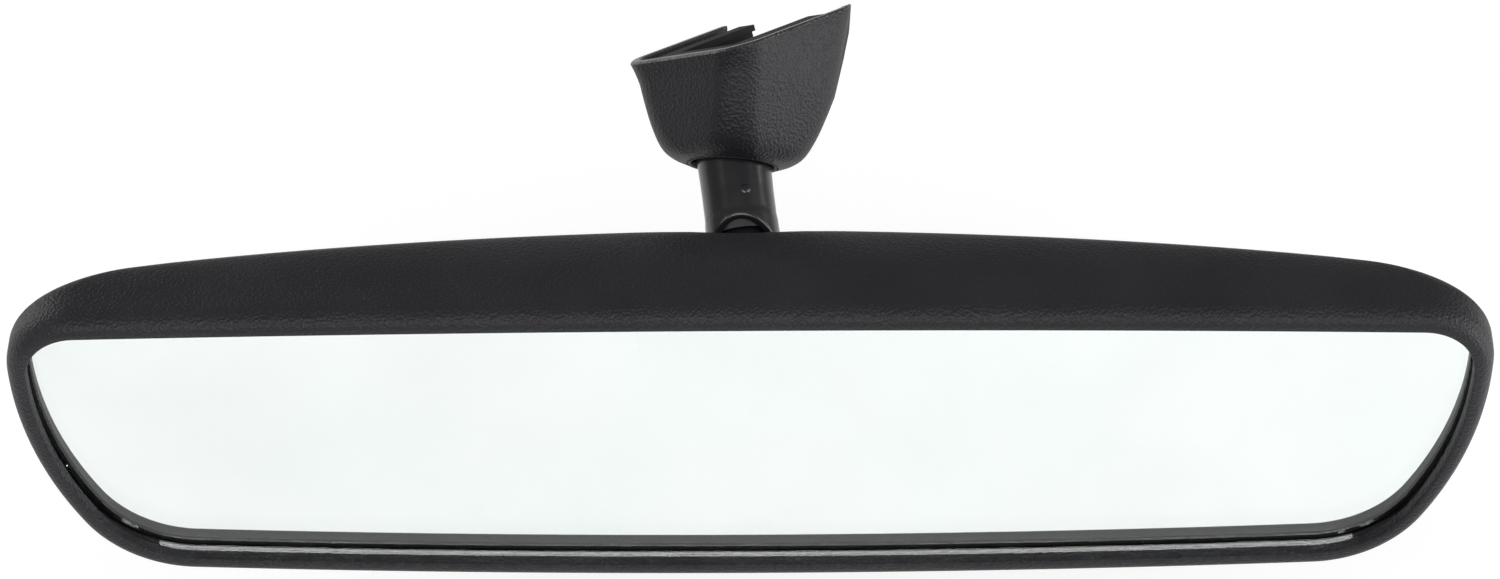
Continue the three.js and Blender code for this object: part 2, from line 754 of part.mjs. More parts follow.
function stemGroup() {
  const group = leaning(lowerBall, stem.lean, stem.turn, 0);
  group.add(named("stem_tube", tubeGeometry(), materials.smooth));
  group.add(named("lower_ball_liner", ballLiner(), materials.acetal));
  group.add(named("lower_ball_seat", ballSeat(), materials.acetal));
  group.add(named("stem_spring", stemSpring(), materials.springSteel));
  const upperSeat = named("upper_ball_seat", ballSeat(), materials.acetal);
  const upperLiner = named("upper_ball_liner", ballLiner(), materials.acetal);
  for (const mesh of [upperSeat, upperLiner]) {
    mesh.rotation.x = Math.PI;
    mesh.position.z = stem.length;
    group.add(mesh);
  }
  return group;
}

function mountGroup(upperBall) {
  const group = leaning(upperBall, mount.lean, mount.turn, mount.twist);
  group.add(named("mount_cover", coverGeometry(), materials.grained));
  group.add(named("mount_bracket", bracketGeometry(), materials.zinc));
  group.add(named("button_spring", buttonSpring(), materials.springSteel));
  group.add(named("cover_clip_left", coverClip(-1), materials.springSteel));
  group.add(named("cover_clip_right", coverClip(1), materials.springSteel));
  group.add(named("upper_ball_stud", ballStud(upperStud), materials.zinc));
  const washerMesh = named("upper_stud_washer", flatWasher(), materials.steel);
  washerMesh.position.z = bracket.bossZ - stackGap - washer.thick;
  const nutMesh = named("upper_stud_nut", hexNut(), materials.steel);
  nutMesh.position.z = washerMesh.position.z - stackGap - nut.height;
  group.add(nutMesh, washerMesh);
  return group;
}

const mirror = new THREE.Group();
const stemAssembly = stemGroup();
stemAssembly.updateMatrix();
const upperBall = new THREE.Vector3(0, 0, stem.length).applyMatrix4(stemAssembly.matrix);
const mountAssembly = mountGroup(upperBall);
mountAssembly.updateMatrix();
mirror.add(headGroup(), stemAssembly, mountAssembly);

// The origin of the whole part: the centre of the bracket's seat pad.
const padTop = bracket.proud / Math.cos(mount.slant) + mount.rimZ;
const padCentre = new THREE.Vector3(0, pad.alongSlope, -bracket.depth + pad.height)
  .applyAxisAngle(new THREE.Vector3(1, 0, 0), mount.slant)
  .add(new THREE.Vector3(0, 0, padTop))
  .applyMatrix4(mountAssembly.matrix);
mirror.position.copy(padCentre).negate();

export default mirror;
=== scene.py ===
"""Looks for the interior rearview mirror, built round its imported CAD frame.

Every piece is drawn in millimetres in its own local frame: the head's, the stem's or the mount's.
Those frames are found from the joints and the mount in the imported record.
"""

import json
import math

import bpy
from mathutils import Matrix, Vector


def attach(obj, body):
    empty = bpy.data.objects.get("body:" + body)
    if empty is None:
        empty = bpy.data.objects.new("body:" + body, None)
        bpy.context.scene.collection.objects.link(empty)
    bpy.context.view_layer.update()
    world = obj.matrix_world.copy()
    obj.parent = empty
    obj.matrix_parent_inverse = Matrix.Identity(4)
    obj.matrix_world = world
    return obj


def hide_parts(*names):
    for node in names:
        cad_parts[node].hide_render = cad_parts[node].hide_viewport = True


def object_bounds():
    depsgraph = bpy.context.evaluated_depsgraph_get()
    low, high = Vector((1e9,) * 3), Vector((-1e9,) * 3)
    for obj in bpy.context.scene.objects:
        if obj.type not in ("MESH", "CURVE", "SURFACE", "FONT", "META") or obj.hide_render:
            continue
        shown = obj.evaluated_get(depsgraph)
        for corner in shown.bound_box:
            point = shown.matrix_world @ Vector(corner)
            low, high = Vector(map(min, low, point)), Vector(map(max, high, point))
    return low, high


MM = 0.001

# ------------------------------------------------------------------ sizes, in millimetres

# Outline of the head, as tangent arcs.
TOP_Z = 32.4
TOP_RADIUS = 5200
TOP_CORNER_X = 112.8
TOP_CORNER_RADIUS = 12.7
SIDE_RADIUS = 70
SIDE_SWEEP = math.radians(30)
LOWER_CORNER_RADIUS = 23
BOTTOM_RADIUS = 2200
HALF_WIDTH = TOP_CORNER_X + TOP_CORNER_RADIUS

# The case's lip, its depth from front to back, and the boss where the stud comes out.
LIP_WIDTH = 3.7
LIP_CREST = 2.7
LIP_FILLET = 4.6
LIP_BACK = 2.4
LIP_GROOVE = 2.2
LIP_EDGE = 0.45
LIP_WALL_FRONT = 1.6
WALL = 2.2
BOSS_DEPTH = 30
BOSS_RADIUS = 9
BOSS_HOLE = 4.2
BOSS_CHAMFER = 0.4
BOSS_WALL = 1
POST_FACE = 24.9
SHOULDER = 12.2
SHOULDER_DROP = 4.6
ROUND = 7.2
ROUND_DROP = 4.2
TAPER_POWER = 2.4
SHOULDER_REACH = 9

# Glass.
GLASS_INSET = 2.6
GLASS_FRONT = 2.65
GLASS_THICK = 2.6
GLASS_BEVEL = 0.65
GLASS_BEVEL_DROP = 0.3
GLASS_ARRIS = 0.15
GLASS_ARRIS_DROP = 0.2
SILVER_INSET = 3.25
SILVER_GAP = 0.05
SILVER_THICK = 0.6

# Ball joints.
LOWER_BALL = Vector((-1.1, 39.5, 11.5))
BALL_RADIUS = 5
NECK_RADIUS = 2.6
NECK_FILLET = 0.35
SHANK_RADIUS = 3
SHANK_CHAMFER = 0.6
THREAD_PITCH = 0.5
THREAD_DEPTH = 0.25
UPPER_FLANGE = (5.6, 3.6, 0.9)  # height above the ball's centre, radius, thickness
LOWER_FLANGE = (7.9, 4.6, 1.3)
UPPER_SHANK_END = 15.6
LOWER_SHANK_END = 23.4
LINER_INNER = 5.25
LINER_OUTER = 5.65
LINER_HALF_ANGLE = math.radians(42)
SOCKET_RADIUS = 5.9
SEAT_RADIUS = 5.3
SEAT_FLOOR = 6.7
SEAT_EDGE = 0.3
AXIS_RADIUS = 0.001  # a turned profile stops this short of its axis

# Stem.
STEM_LENGTH = 17.7
STEM_BORE = 5.55
STEM_WAIST = 6.3
STEM_END = 6.55
STEM_TOP = 6.45
STEM_LIP = 2.6
STEM_EDGE = 0.8
STEM_TAPER_START = 0.5
STEM_TAPER_END = 6
STEM_TAPER_STEP = 0.08
STEM_SWELL_START = 7  # below the upper ball
STEM_SWELL_LENGTH = 6
BORE_BLEND = 0.4
NOTCH_HALF_WIDTH = 6
NOTCH_APEX = 4.5
NOTCH_TURN = math.radians(-9)
SPRING_WIRE = 0.45
SPRING_COIL = 4
SPRING_TURNS = 1.75
SPRING_CLEARANCE = 0.3
DOT_RADIUS = 0.9
DOT_RISE = 0.22
DOT_SUNK = 0.06
DOT_HEIGHT = 9.6
DOT_SIDE = 0.9

# Windscreen mount.
SLANT = math.radians(25.7)
RIM_Z = 22.2
CUP_WALL = 1.8
HOLE_RADIUS = 7.3
HOLE_Z = -1.9
RIM_EDGE = 0.5
ENTRY_DROP = 4.4
ENTRY_EDGE = 13
ENTRY_START = 11
ENTRY_BLEND = 0.25
HOLE_PROFILE = (  # distance outside the hole's radius and height, from inside the cup to its foot
    (0.3, CUP_WALL + 0.4),
    (0, CUP_WALL),
    (0, 0.5),
    (0.15, 0.12),
    (0.4, 0),
    (0.5, 0.05),
    (0.56, 0.4),
    (0.74, 0.4),
    (0.82, 0.1),
)
CUP_SECTIONS = (  # height above the hole, side of the rounded square, corner radius
    (0.2, 16.4, 7.8),
    (1, 19.4, 7.2),
    (2.6, 21.9, 6.7),
    (6, 24.2, 6.2),
    (10, 26.2, 6),
    (13.5, 27.8, 6),
)
MOUTH_SIDE = 30.5
MOUTH_CORNER = 6

# ------------------------------------------------------------------ the frame

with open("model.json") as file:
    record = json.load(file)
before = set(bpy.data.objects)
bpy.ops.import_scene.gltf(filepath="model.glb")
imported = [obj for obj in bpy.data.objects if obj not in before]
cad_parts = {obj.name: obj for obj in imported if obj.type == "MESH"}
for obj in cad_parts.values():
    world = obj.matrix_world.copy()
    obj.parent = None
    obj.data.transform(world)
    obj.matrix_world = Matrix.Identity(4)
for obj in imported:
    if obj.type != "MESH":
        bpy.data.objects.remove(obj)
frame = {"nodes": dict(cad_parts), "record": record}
record = frame["record"]
cad_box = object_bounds()
joints = {joint["name"]: joint for joint in record["behaviour"]["joints"]}


def local_frame(origin_m, x_axis, y_axis, z_axis):
    """The matrix that takes a point in millimetres in a local frame to metres in the row's frame."""
    turn = Matrix((x_axis, y_axis, z_axis)).transposed().to_4x4()
    return Matrix.Translation(Vector(origin_m)) @ turn @ Matrix.Scale(MM, 4)


def head_frame():
    """The head's frame: its front plane is y = 0 and its middle is x = 0."""
    ball = Vector(joints["head_roll"]["pos_m"])
    return Matrix.Translation(ball - LOWER_BALL * MM) @ Matrix.Scale(MM, 4)


def stem_frame():
    """The stem's frame: the lower ball at the origin and the upper ball on +Z."""
    lower = Vector(joints["head_roll"]["pos_m"])
    upper = Vector(joints["arm_turn"]["pos_m"])
    z_axis = (upper - lower).normalized()
    x_axis = z_axis.cross(Vector((0, 0, 1))).normalized()
    return local_frame(lower, x_axis, z_axis.cross(x_axis), z_axis)


def mount_frame():
    """The mount's frame: the upper ball at the origin, +Z out of the cup and +Y up the mouth's slope."""
    z_axis = Vector(joints["arm_turn"]["axis"]).normalized()
    face = Vector(record["mounts"][0]["axis"])
    y_axis = (z_axis * math.cos(SLANT) - face).normalized()
    x_axis = y_axis.cross(z_axis).normalized()
    return local_frame(joints["arm_turn"]["pos_m"], x_axis, z_axis.cross(x_axis), z_axis)


HEAD = head_frame()
STEM = stem_frame()
MOUNT = mount_frame()
UPPER_END = STEM @ Matrix.Translation((0, 0, STEM_LENGTH)) @ Matrix.Rotation(math.pi, 4, "X")
LOWER_STUD = HEAD @ Matrix.Translation(LOWER_BALL) @ Matrix.Rotation(math.pi / 2, 4, "X")

# ------------------------------------------------------------------ materials

# A noise is taken to run between these two values.
NOISE_LOW = 0.3
NOISE_HIGH = 0.7

# Moulded grain, in metres, and how dark and glossy black plastic is.
GRAIN_CELL = 0.0005
GRAIN_DEPTH = 0.00017
GRAIN_DARK = (0.0105, 0.0107, 0.0128)
GRAIN_LIGHT = (0.015, 0.015, 0.0178)
GRAIN_ROUGHNESS = 0.5
GRAIN_SPECULAR = 0.28
POLISHED_ROUGHNESS = 0.3
POLISHED_SPECULAR = 0.75
POLISHED_DEPTH = 0.0005
POLISHED_BLEND = 0.0002

# The faint unevenness of smooth plastic and of worn metal, in metres.
SURFACE_BUMP = 0.00001


def tree(name):
    """A new node material with its shader, and the object coordinates of what it is on."""
    material = bpy.data.materials.new(name)
    material.use_nodes = True
    nodes = material.node_tree.nodes
    shader = nodes["Principled BSDF"]
    place = nodes.new("ShaderNodeTexCoord").outputs["Object"]
    return material, nodes, material.node_tree.links, shader, place


def noise(nodes, links, place, scale, detail=3.0):
    """The value of a noise texture, about 0.5 on average."""
    texture = nodes.new("ShaderNodeTexNoise")
    texture.inputs["Scale"].default_value = scale
    texture.inputs["Detail"].default_value = detail
    links.new(place, texture.inputs["Vector"])
    return texture.outputs["Fac"]


def ramp(nodes, links, value, low, high):
    """A colour that runs from low to high as a noise goes from its low to its high value."""
    blend = nodes.new("ShaderNodeValToRGB")
    blend.color_ramp.elements[0].position = NOISE_LOW
    blend.color_ramp.elements[1].position = NOISE_HIGH
    blend.color_ramp.elements[0].color = (*low, 1)
    blend.color_ramp.elements[1].color = (*high, 1)
    links.new(value, blend.inputs["Fac"])
    return blend.outputs["Color"]


def span(nodes, links, value, low, high):
    """A number that runs from low to high as a noise goes from its low to its high value."""
    blend = nodes.new("ShaderNodeMapRange")
    blend.inputs["From Min"].default_value = NOISE_LOW
    blend.inputs["From Max"].default_value = NOISE_HIGH
    blend.inputs["To Min"].default_value = low
    blend.inputs["To Max"].default_value = high
    links.new(value, blend.inputs["Value"])
    return blend.outputs["Result"]


def bump(nodes, links, height, distance, strength, below=None):
    """A bump from a height, over another bump if one is given."""
    node = nodes.new("ShaderNodeBump")
    node.inputs["Distance"].default_value = distance
    node.inputs["Strength"].default_value = strength
    links.new(height, node.inputs["Height"])
    if below is not None:
        links.new(below, node.inputs["Normal"])
    return node.outputs["Normal"]


def polish_beyond(nodes, links, shader, place, normal, level):
    """Smoother and glossier plastic beyond a plane, which is given by its normal and its level."""
    along = nodes.new("ShaderNodeVectorMath")
    along.operation = "DOT_PRODUCT"
    along.inputs[1].default_value = normal
    links.new(place, along.inputs[0])
    plain = nodes.new("ShaderNodeMapRange")
    plain.inputs["From Min"].default_value = level
    plain.inputs["From Max"].default_value = level + POLISHED_BLEND
    links.new(along.outputs["Value"], plain.inputs["Value"])
    changes = (
        ("Roughness", GRAIN_ROUGHNESS, POLISHED_ROUGHNESS),
        ("Specular IOR Level", GRAIN_SPECULAR, POLISHED_SPECULAR),
    )
    for socket, grained, bare in changes:
        blend = nodes.new("ShaderNodeMapRange")
        blend.inputs["To Min"].default_value = grained
        blend.inputs["To Max"].default_value = bare
        links.new(plain.outputs["Result"], blend.inputs["Value"])
        links.new(blend.outputs["Result"], shader.inputs[socket])


def grained_plastic(name, polished=None):
    """Moulded black plastic with a fine leather grain, smooth beyond a plane if one is given."""
    material, nodes, links, shader, place = tree(name)
    cells = nodes.new("ShaderNodeTexVoronoi")
    cells.feature = "SMOOTH_F1"
    cells.inputs["Scale"].default_value = 1 / GRAIN_CELL
    cells.inputs["Smoothness"].default_value = 0.6
    links.new(place, cells.inputs["Vector"])
    fine = noise(nodes, links, place, 2.4 / GRAIN_CELL)
    broad = noise(nodes, links, place, 60)
    grain = bump(nodes, links, cells.outputs["Distance"], GRAIN_DEPTH, 1)
    links.new(bump(nodes, links, fine, GRAIN_DEPTH * 0.35, 0.5, grain), shader.inputs["Normal"])
    links.new(ramp(nodes, links, broad, GRAIN_DARK, GRAIN_LIGHT), shader.inputs["Base Color"])
    uneven = span(nodes, links, fine, GRAIN_ROUGHNESS - 0.05, GRAIN_ROUGHNESS + 0.05)
    links.new(uneven, shader.inputs["Roughness"])
    shader.inputs["Specular IOR Level"].default_value = GRAIN_SPECULAR
    if polished:
        polish_beyond(nodes, links, shader, place, *polished)
    return material


def smooth_plastic(name, low, high, rough, specular=0.5):
    """Plain moulded plastic with a faint unevenness."""
    material, nodes, links, shader, place = tree(name)
    broad = noise(nodes, links, place, 90)
    fine = noise(nodes, links, place, 1800)
    links.new(bump(nodes, links, fine, SURFACE_BUMP, 0.4), shader.inputs["Normal"])
    links.new(ramp(nodes, links, broad, low, high), shader.inputs["Base Color"])
    links.new(span(nodes, links, broad, rough - 0.04, rough + 0.04), shader.inputs["Roughness"])
    shader.inputs["Specular IOR Level"].default_value = specular
    return material


def metal(name, low, high, rough, scratch=(400, 400, 3000)):
    """Metal with a fine directional wear."""
    material, nodes, links, shader, place = tree(name)
    stretch = nodes.new("ShaderNodeMapping")
    stretch.inputs["Scale"].default_value = scratch
    links.new(place, stretch.inputs["Vector"])
    wear = noise(nodes, links, stretch.outputs["Vector"], 1)
    links.new(bump(nodes, links, wear, SURFACE_BUMP, 0.3), shader.inputs["Normal"])
    links.new(ramp(nodes, links, wear, low, high), shader.inputs["Base Color"])
    links.new(span(nodes, links, wear, rough - 0.08, rough + 0.08), shader.inputs["Roughness"])
    shader.inputs["Metallic"].default_value = 1
    return material


def clear_glass(name):
    """Clear float glass with the faintest haze."""
    material, nodes, links, shader, place = tree(name)
    haze = noise(nodes, links, place, 25)
    tint = ramp(nodes, links, haze, (0.96, 0.985, 0.975), (0.975, 0.99, 0.985))
    links.new(tint, shader.inputs["Base Color"])
    links.new(span(nodes, links, haze, 0, 0.006), shader.inputs["Roughness"])
    shader.inputs["IOR"].default_value = 1.52
    shader.inputs["Transmission Weight"].default_value = 1
    return material


def silver(name):
    """The silvering behind the glass."""
    material, nodes, links, shader, place = tree(name)
    haze = noise(nodes, links, place, 40)
    tint = ramp(nodes, links, haze, (0.79, 0.8, 0.795), (0.82, 0.83, 0.825))
    links.new(tint, shader.inputs["Base Color"])
    links.new(span(nodes, links, haze, 0, 0.012), shader.inputs["Roughness"])
    shader.inputs["Metallic"].default_value = 1
    return material


def foam_rubber(name):
    """Closed-cell foam."""
    material, nodes, links, shader, place = tree(name)
    cells = noise(nodes, links, place, 2500)
    links.new(bump(nodes, links, cells, 0.0002, 0.8), shader.inputs["Normal"])
    tint = ramp(nodes, links, cells, (0.02, 0.02, 0.022), (0.05, 0.05, 0.055))
    links.new(tint, shader.inputs["Base Color"])
    links.new(span(nodes, links, cells, 0.85, 0.95), shader.inputs["Roughness"])
    return material


RIM_NORMAL = Vector(record["mounts"][0]["axis"])
RIM_LEVEL = RIM_NORMAL.dot(MOUNT @ Vector((0, 0, RIM_Z))) - POLISHED_DEPTH
GRAINED = grained_plastic("grained_black_plastic")
CUP = grained_plastic("grained_black_cup", polished=(RIM_NORMAL, RIM_LEVEL))
SMOOTH = smooth_plastic("smooth_black_plastic", (0.006, 0.006, 0.0075), (0.009, 0.009, 0.0105), 0.26)
GLASS = clear_glass("clear_glass")
SILVER = silver("silvering")
FOAM = foam_rubber("foam_rubber")
INNER = smooth_plastic("inner_black_plastic", (0.012, 0.012, 0.013), (0.02, 0.02, 0.022), 0.55)
ACETAL = smooth_plastic("black_acetal", (0.014, 0.014, 0.016), (0.022, 0.022, 0.024), 0.35)
CASTING = smooth_plastic("black_coated_casting", (0.011, 0.011, 0.013), (0.019, 0.019, 0.021), 0.7, 0.15)
BALL = smooth_plastic("black_polished_ball", (0.008, 0.008, 0.01), (0.013, 0.013, 0.015), 0.3, 0.3)
STEEL = metal("plated_steel", (0.45, 0.46, 0.48), (0.6, 0.61, 0.62), 0.32)
SPRING = metal("spring_steel", (0.2, 0.21, 0.23), (0.34, 0.35, 0.37), 0.3)

# ------------------------------------------------------------------ mesh helpers


def finished(name, vertices, faces, place, material, body, slot, nodes=(), crease=38):
    """A smooth mesh object from local points, riding on a body, standing for the CAD nodes it names."""
    mesh = bpy.data.meshes.new(name)
    mesh.from_pydata([place @ Vector(v) for v in vertices], [], faces)
    mesh.validate()
    mesh.shade_smooth()
    mesh.set_sharp_from_angle(angle=math.radians(crease))
    mesh.materials.append(material)
    piece = bpy.data.objects.new(name, mesh)
    bpy.context.scene.collection.objects.link(piece)
    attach(piece, body)
    if nodes:
        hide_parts(*nodes)
    return piece


def loft(rings, around=True, closed=False, caps=False):
    """Vertices and faces of a skin through rings of equal count.

    closed joins the last ring to the first, and caps closes the two end rings with a fan each.
    """
    count = len(rings[0])
    vertices = [point for ring in rings for point in ring]
    faces = []
    steps = len(rings) if closed else len(rings) - 1
    sides = count if around else count - 1
    for r in range(steps):
        here, there = r * count, (r + 1) % len(rings) * count
        for i in range(sides):
            j = (i + 1) % count
            faces.append((here + i, here + j, there + j, there + i))
    if caps:
        for start, flip in ((0, True), (count * (len(rings) - 1), False)):
            middle = sum((Vector(p) for p in vertices[start : start + count]), Vector()) / count
            vertices.append(middle)
            hub = len(vertices) - 1
            for i in range(count):
                pair = (start + i, start + (i + 1) % count)
                faces.append((hub, *(reversed(pair) if flip else pair)))
    return vertices, faces


def lathe(profile, segments=96):
    """Vertices and faces of a closed profile of (radius, height) turned about Z."""
    rings = []
    for i in range(segments):
        angle = 2 * math.pi * i / segments
        rings.append([(r * math.cos(angle), r * math.sin(angle), z) for r, z in profile])
    return loft(rings, closed=True)


def arc(radius, start, end, steps, lift=0.0):
    """(radius, height) pairs along a sphere's profile between two angles from +Z."""
    angles = [start + (end - start) * i / steps for i in range(steps + 1)]
    return [(radius * math.sin(a), radius * math.cos(a) + lift) for a in angles]


def sweep(path, radius, sides=16):
    """Vertices and faces of a round bar along a list of points, with closed ends."""
    points = [Vector(p) for p in path]
    rings = []
    side = Vector((0, 0, 1))
    for i, point in enumerate(points):
        ahead = points[min(i + 1, len(points) - 1)] - points[max(i - 1, 0)]
        ahead.normalize()
        side = (side - ahead * side.dot(ahead)).normalized()
        up = ahead.cross(side)
        angles = [2 * math.pi * k / sides for k in range(sides)]
        rings.append([point + radius * (math.cos(a) * side + math.sin(a) * up) for a in angles])
    return loft(rings, caps=True)


def soften(node, width):
    """A small round on the sharp edges of a CAD node that is shown as it is."""
    modifier = frame["nodes"][node].modifiers.new("edge_round", "BEVEL")
    modifier.width = width * MM
    modifier.segments = 2
    modifier.limit_method = "ANGLE"
    modifier.angle_limit = math.radians(40)
    modifier.use_clamp_overlap = True


def paint(node, material):
    """A procedural material on a CAD node that is shown as it is."""
    slots = frame["nodes"][node].data.materials
    slots.clear()
    slots.append(material)


# ------------------------------------------------------------------ outline of the head


def outline_arcs():
    """The right half of the outline from top to bottom: centre, radius, first and last angle, steps."""
    quarter = math.pi / 2
    top_angle = math.asin(TOP_CORNER_X / (TOP_RADIUS - TOP_CORNER_RADIUS))
    top_centre = TOP_Z - TOP_RADIUS
    corner_z = top_centre + (TOP_RADIUS - TOP_CORNER_RADIUS) * math.cos(top_angle)
    side_x = HALF_WIDTH - SIDE_RADIUS
    inner = SIDE_RADIUS - LOWER_CORNER_RADIUS
    lower_x = side_x + inner * math.cos(SIDE_SWEEP)
    lower_z = corner_z - inner * math.sin(SIDE_SWEEP)
    bottom_angle = math.asin(lower_x / (BOTTOM_RADIUS - LOWER_CORNER_RADIUS))
    bottom_centre = lower_z + (BOTTOM_RADIUS - LOWER_CORNER_RADIUS) * math.cos(bottom_angle)
    return (
        (0, top_centre, TOP_RADIUS, quarter, quarter - top_angle, 36),
        (TOP_CORNER_X, corner_z, TOP_CORNER_RADIUS, quarter - top_angle, 0, 28),
        (side_x, corner_z, SIDE_RADIUS, 0, -SIDE_SWEEP, 20),
        (lower_x, lower_z, LOWER_CORNER_RADIUS, -SIDE_SWEEP, bottom_angle - quarter, 28),
        (0, bottom_centre, BOTTOM_RADIUS, bottom_angle - quarter, -quarter, 36),
    )


def outline(inset):
    """The outline as (x, z) all the way round, moved in by a distance."""
    right = []
    for x, z, radius, start, end, steps in outline_arcs():
        for i in range(steps):
            angle = start + (end - start) * i / steps
            reach = radius - inset
            right.append((x + reach * math.cos(angle), z + reach * math.sin(angle)))
    _, foot_z, foot_radius, *_ = outline_arcs()[-1]
    foot = (0, foot_z - foot_radius + inset)
    left = [(-x, z) for x, z in reversed(right[1:])]
    return [*right, foot, *left]


def flat_ring(inset, y):
    """A ring of the head parallel to its front."""
    return [(x, y, z) for x, z in outline(inset)]


# ------------------------------------------------------------------ mirror case


def depths(x):
    """How deep the case's shoulder and the round behind it are at a place along the head."""
    taper = min(1, abs(x) / HALF_WIDTH) ** TAPER_POWER
    return SHOULDER - SHOULDER_DROP * taper, ROUND - ROUND_DROP * taper


def around_ball(x, z):
    """The direction in which a point of the outline is drawn to the boss."""
    return math.atan2((z - LOWER_BALL.z) / TOP_Z, (x - LOWER_BALL.x) / HALF_WIDTH)


def back_ring(offset, boss, distance=None, share=None):
    """A ring of the case's back, at a distance in from the outline or a share of the way to the boss."""
    ring = []
    for x, z in outline(offset):
        angle = around_ball(x, z)
        boss_x = LOWER_BALL.x + boss * math.cos(angle)
        boss_z = LOWER_BALL.z + boss * math.sin(angle)
        reach = math.hypot(x - boss_x, z - boss_z)
        start = SHOULDER_REACH / reach
        part = distance / reach if share is None else start + (1 - start) * share
        near = min(1, part * reach / SHOULDER_REACH)
        shoulder, rounding = depths(x)
        rise = BOSS_DEPTH - shoulder - rounding
        y = shoulder + rounding * math.sqrt(1 - (1 - near) ** 2)
        y += rise * (1 - (1 - part) ** TAPER_POWER) - offset
        ring.append((x + (boss_x - x) * part, y, z + (boss_z - z) * part))
    return ring


def boss_ring(radius, y):
    """A round ring about the ball's centre line, with a point for each point of the outline."""
    ring = []
    for x, z in outline(0):
        angle = around_ball(x, z)
        ring.append((LOWER_BALL.x + radius * math.cos(angle), y, LOWER_BALL.z + radius * math.sin(angle)))
    return ring


def case_front():
    """The lip, from its inner wall over the crest and round to the side of the case."""
    steps = 5
    rings = [flat_ring(LIP_WIDTH, LIP_BACK), flat_ring(LIP_WIDTH, LIP_WALL_FRONT)]
    for i in range(steps + 1):
        turn = math.pi / 2 * i / steps
        inset = LIP_WIDTH - LIP_EDGE * (1 - math.cos(turn))
        rings.append(flat_ring(inset, LIP_EDGE * 2 * (1 - math.sin(turn)) + 0.05))
    rings.append(flat_ring((LIP_WIDTH + LIP_CREST) / 2, 0))
    steps = 12
    for i in range(steps + 1):
        turn = math.pi / 2 * i / steps
        rings.append(flat_ring(LIP_CREST * (1 - math.sin(turn)), LIP_FILLET * (1 - math.cos(turn))))
    return rings


def mirror_case():
    """The one-piece case: lip, sides, domed back, boss and the inside wall."""
    outside = [back_ring(0, BOSS_RADIUS, distance=SHOULDER_REACH * (i / 14) ** 1.8) for i in range(15)]
    outside += [back_ring(0, BOSS_RADIUS, share=i / 16) for i in range(1, 17)]
    boss = [boss_ring(BOSS_HOLE + BOSS_CHAMFER, BOSS_DEPTH)]
    boss += [boss_ring(BOSS_HOLE, BOSS_DEPTH - BOSS_CHAMFER)]
    inner_boss = BOSS_RADIUS - BOSS_WALL
    boss += [boss_ring(BOSS_HOLE, POST_FACE), boss_ring(inner_boss, POST_FACE)]
    inside = [back_ring(WALL, inner_boss, share=i / 6) for i in range(6, 0, -1)]
    inside += [back_ring(WALL, inner_boss, distance=d) for d in (9, 5, 2.5, 1, 0.3, 0)]
    rings = [*case_front(), *outside, *boss, *inside, flat_ring(LIP_GROOVE, LIP_BACK)]
    skin = loft(rings, closed=True)
    finished("case_shell", *skin, HEAD, GRAINED, "head", "grained_black", ["mirror_case"])


def mirror_glass():
    """The pane, with its polished bevel all round."""
    rings = [flat_ring(GLASS_INSET + GLASS_BEVEL, GLASS_FRONT)]
    rings.append(flat_ring(GLASS_INSET + GLASS_ARRIS, GLASS_FRONT + GLASS_BEVEL_DROP))
    rings.append(flat_ring(GLASS_INSET, GLASS_FRONT + GLASS_BEVEL_DROP + GLASS_ARRIS_DROP))
    rings.append(flat_ring(GLASS_INSET, GLASS_FRONT + GLASS_THICK))
    skin = loft(rings, caps=True)
    finished("glass_pane", *skin, HEAD, GLASS, "head", "mirror", ["mirror_glass"], crease=2)


def silvered_back():
    """The silvered sheet close behind the pane."""
    front = GLASS_FRONT + GLASS_THICK + SILVER_GAP
    rings = [flat_ring(SILVER_INSET, front), flat_ring(SILVER_INSET, front + SILVER_THICK)]
    skin = loft(rings, caps=True)
    finished("silver_sheet", *skin, HEAD, SILVER, "head", "film", ["reflective_backing"], crease=2)


# ------------------------------------------------------------------ ball joints


def ball_stud(name, place, body, node, flange, shank_end):
    """A stud with its polished ball at the origin and its shank along +Z."""
    low, wide, thick = flange
    high = low + thick
    profile = arc(BALL_RADIUS, math.pi, math.asin(NECK_RADIUS / BALL_RADIUS), 40)
    profile[0] = (AXIS_RADIUS, -BALL_RADIUS)
    profile += [
        (NECK_RADIUS, low - NECK_FILLET),
        (NECK_RADIUS + 0.3 * NECK_FILLET, low - 0.3 * NECK_FILLET),
        (NECK_RADIUS + NECK_FILLET, low),
        (wide - 0.2, low),
        (wide, low + 0.2),
        (wide, high - 0.1),
        (wide - 0.1, high),
        (SHANK_RADIUS, high),
    ]
    level = high + THREAD_PITCH
    while level < shank_end - 1:
        profile += [(SHANK_RADIUS, level), (SHANK_RADIUS - THREAD_DEPTH, level + THREAD_PITCH / 2)]
        level += THREAD_PITCH
    profile += [
        (SHANK_RADIUS, shank_end - SHANK_CHAMFER),
        (SHANK_RADIUS - SHANK_CHAMFER, shank_end),
        (AXIS_RADIUS, shank_end),
    ]
    finished(name, *lathe(profile), place, BALL, body, "zinc", [node], crease=32)


def ball_liner(name, place, body, node):
    """The thin plastic cup between a ball and its seat."""
    profile = arc(LINER_OUTER, AXIS_RADIUS, LINER_HALF_ANGLE, 20)
    profile += arc(LINER_INNER, LINER_HALF_ANGLE, AXIS_RADIUS, 20)
    finished(name, *lathe(profile), place, ACETAL, body, "acetal", [node])


def ball_seat(name, place, node):
    """The seat in the stem's bore."""
    rim = math.asin((SEAT_RADIUS - SEAT_EDGE) / SOCKET_RADIUS)
    profile = arc(SOCKET_RADIUS, AXIS_RADIUS, rim, 20)
    rim_z = profile[-1][1]
    profile += [
        (SEAT_RADIUS, rim_z),
        (SEAT_RADIUS, SEAT_FLOOR - SEAT_EDGE),
        (SEAT_RADIUS - SEAT_EDGE, SEAT_FLOOR),
        (AXIS_RADIUS, SEAT_FLOOR),
    ]
    finished(name, *lathe(profile), place, ACETAL, "stem", "acetal", [node])


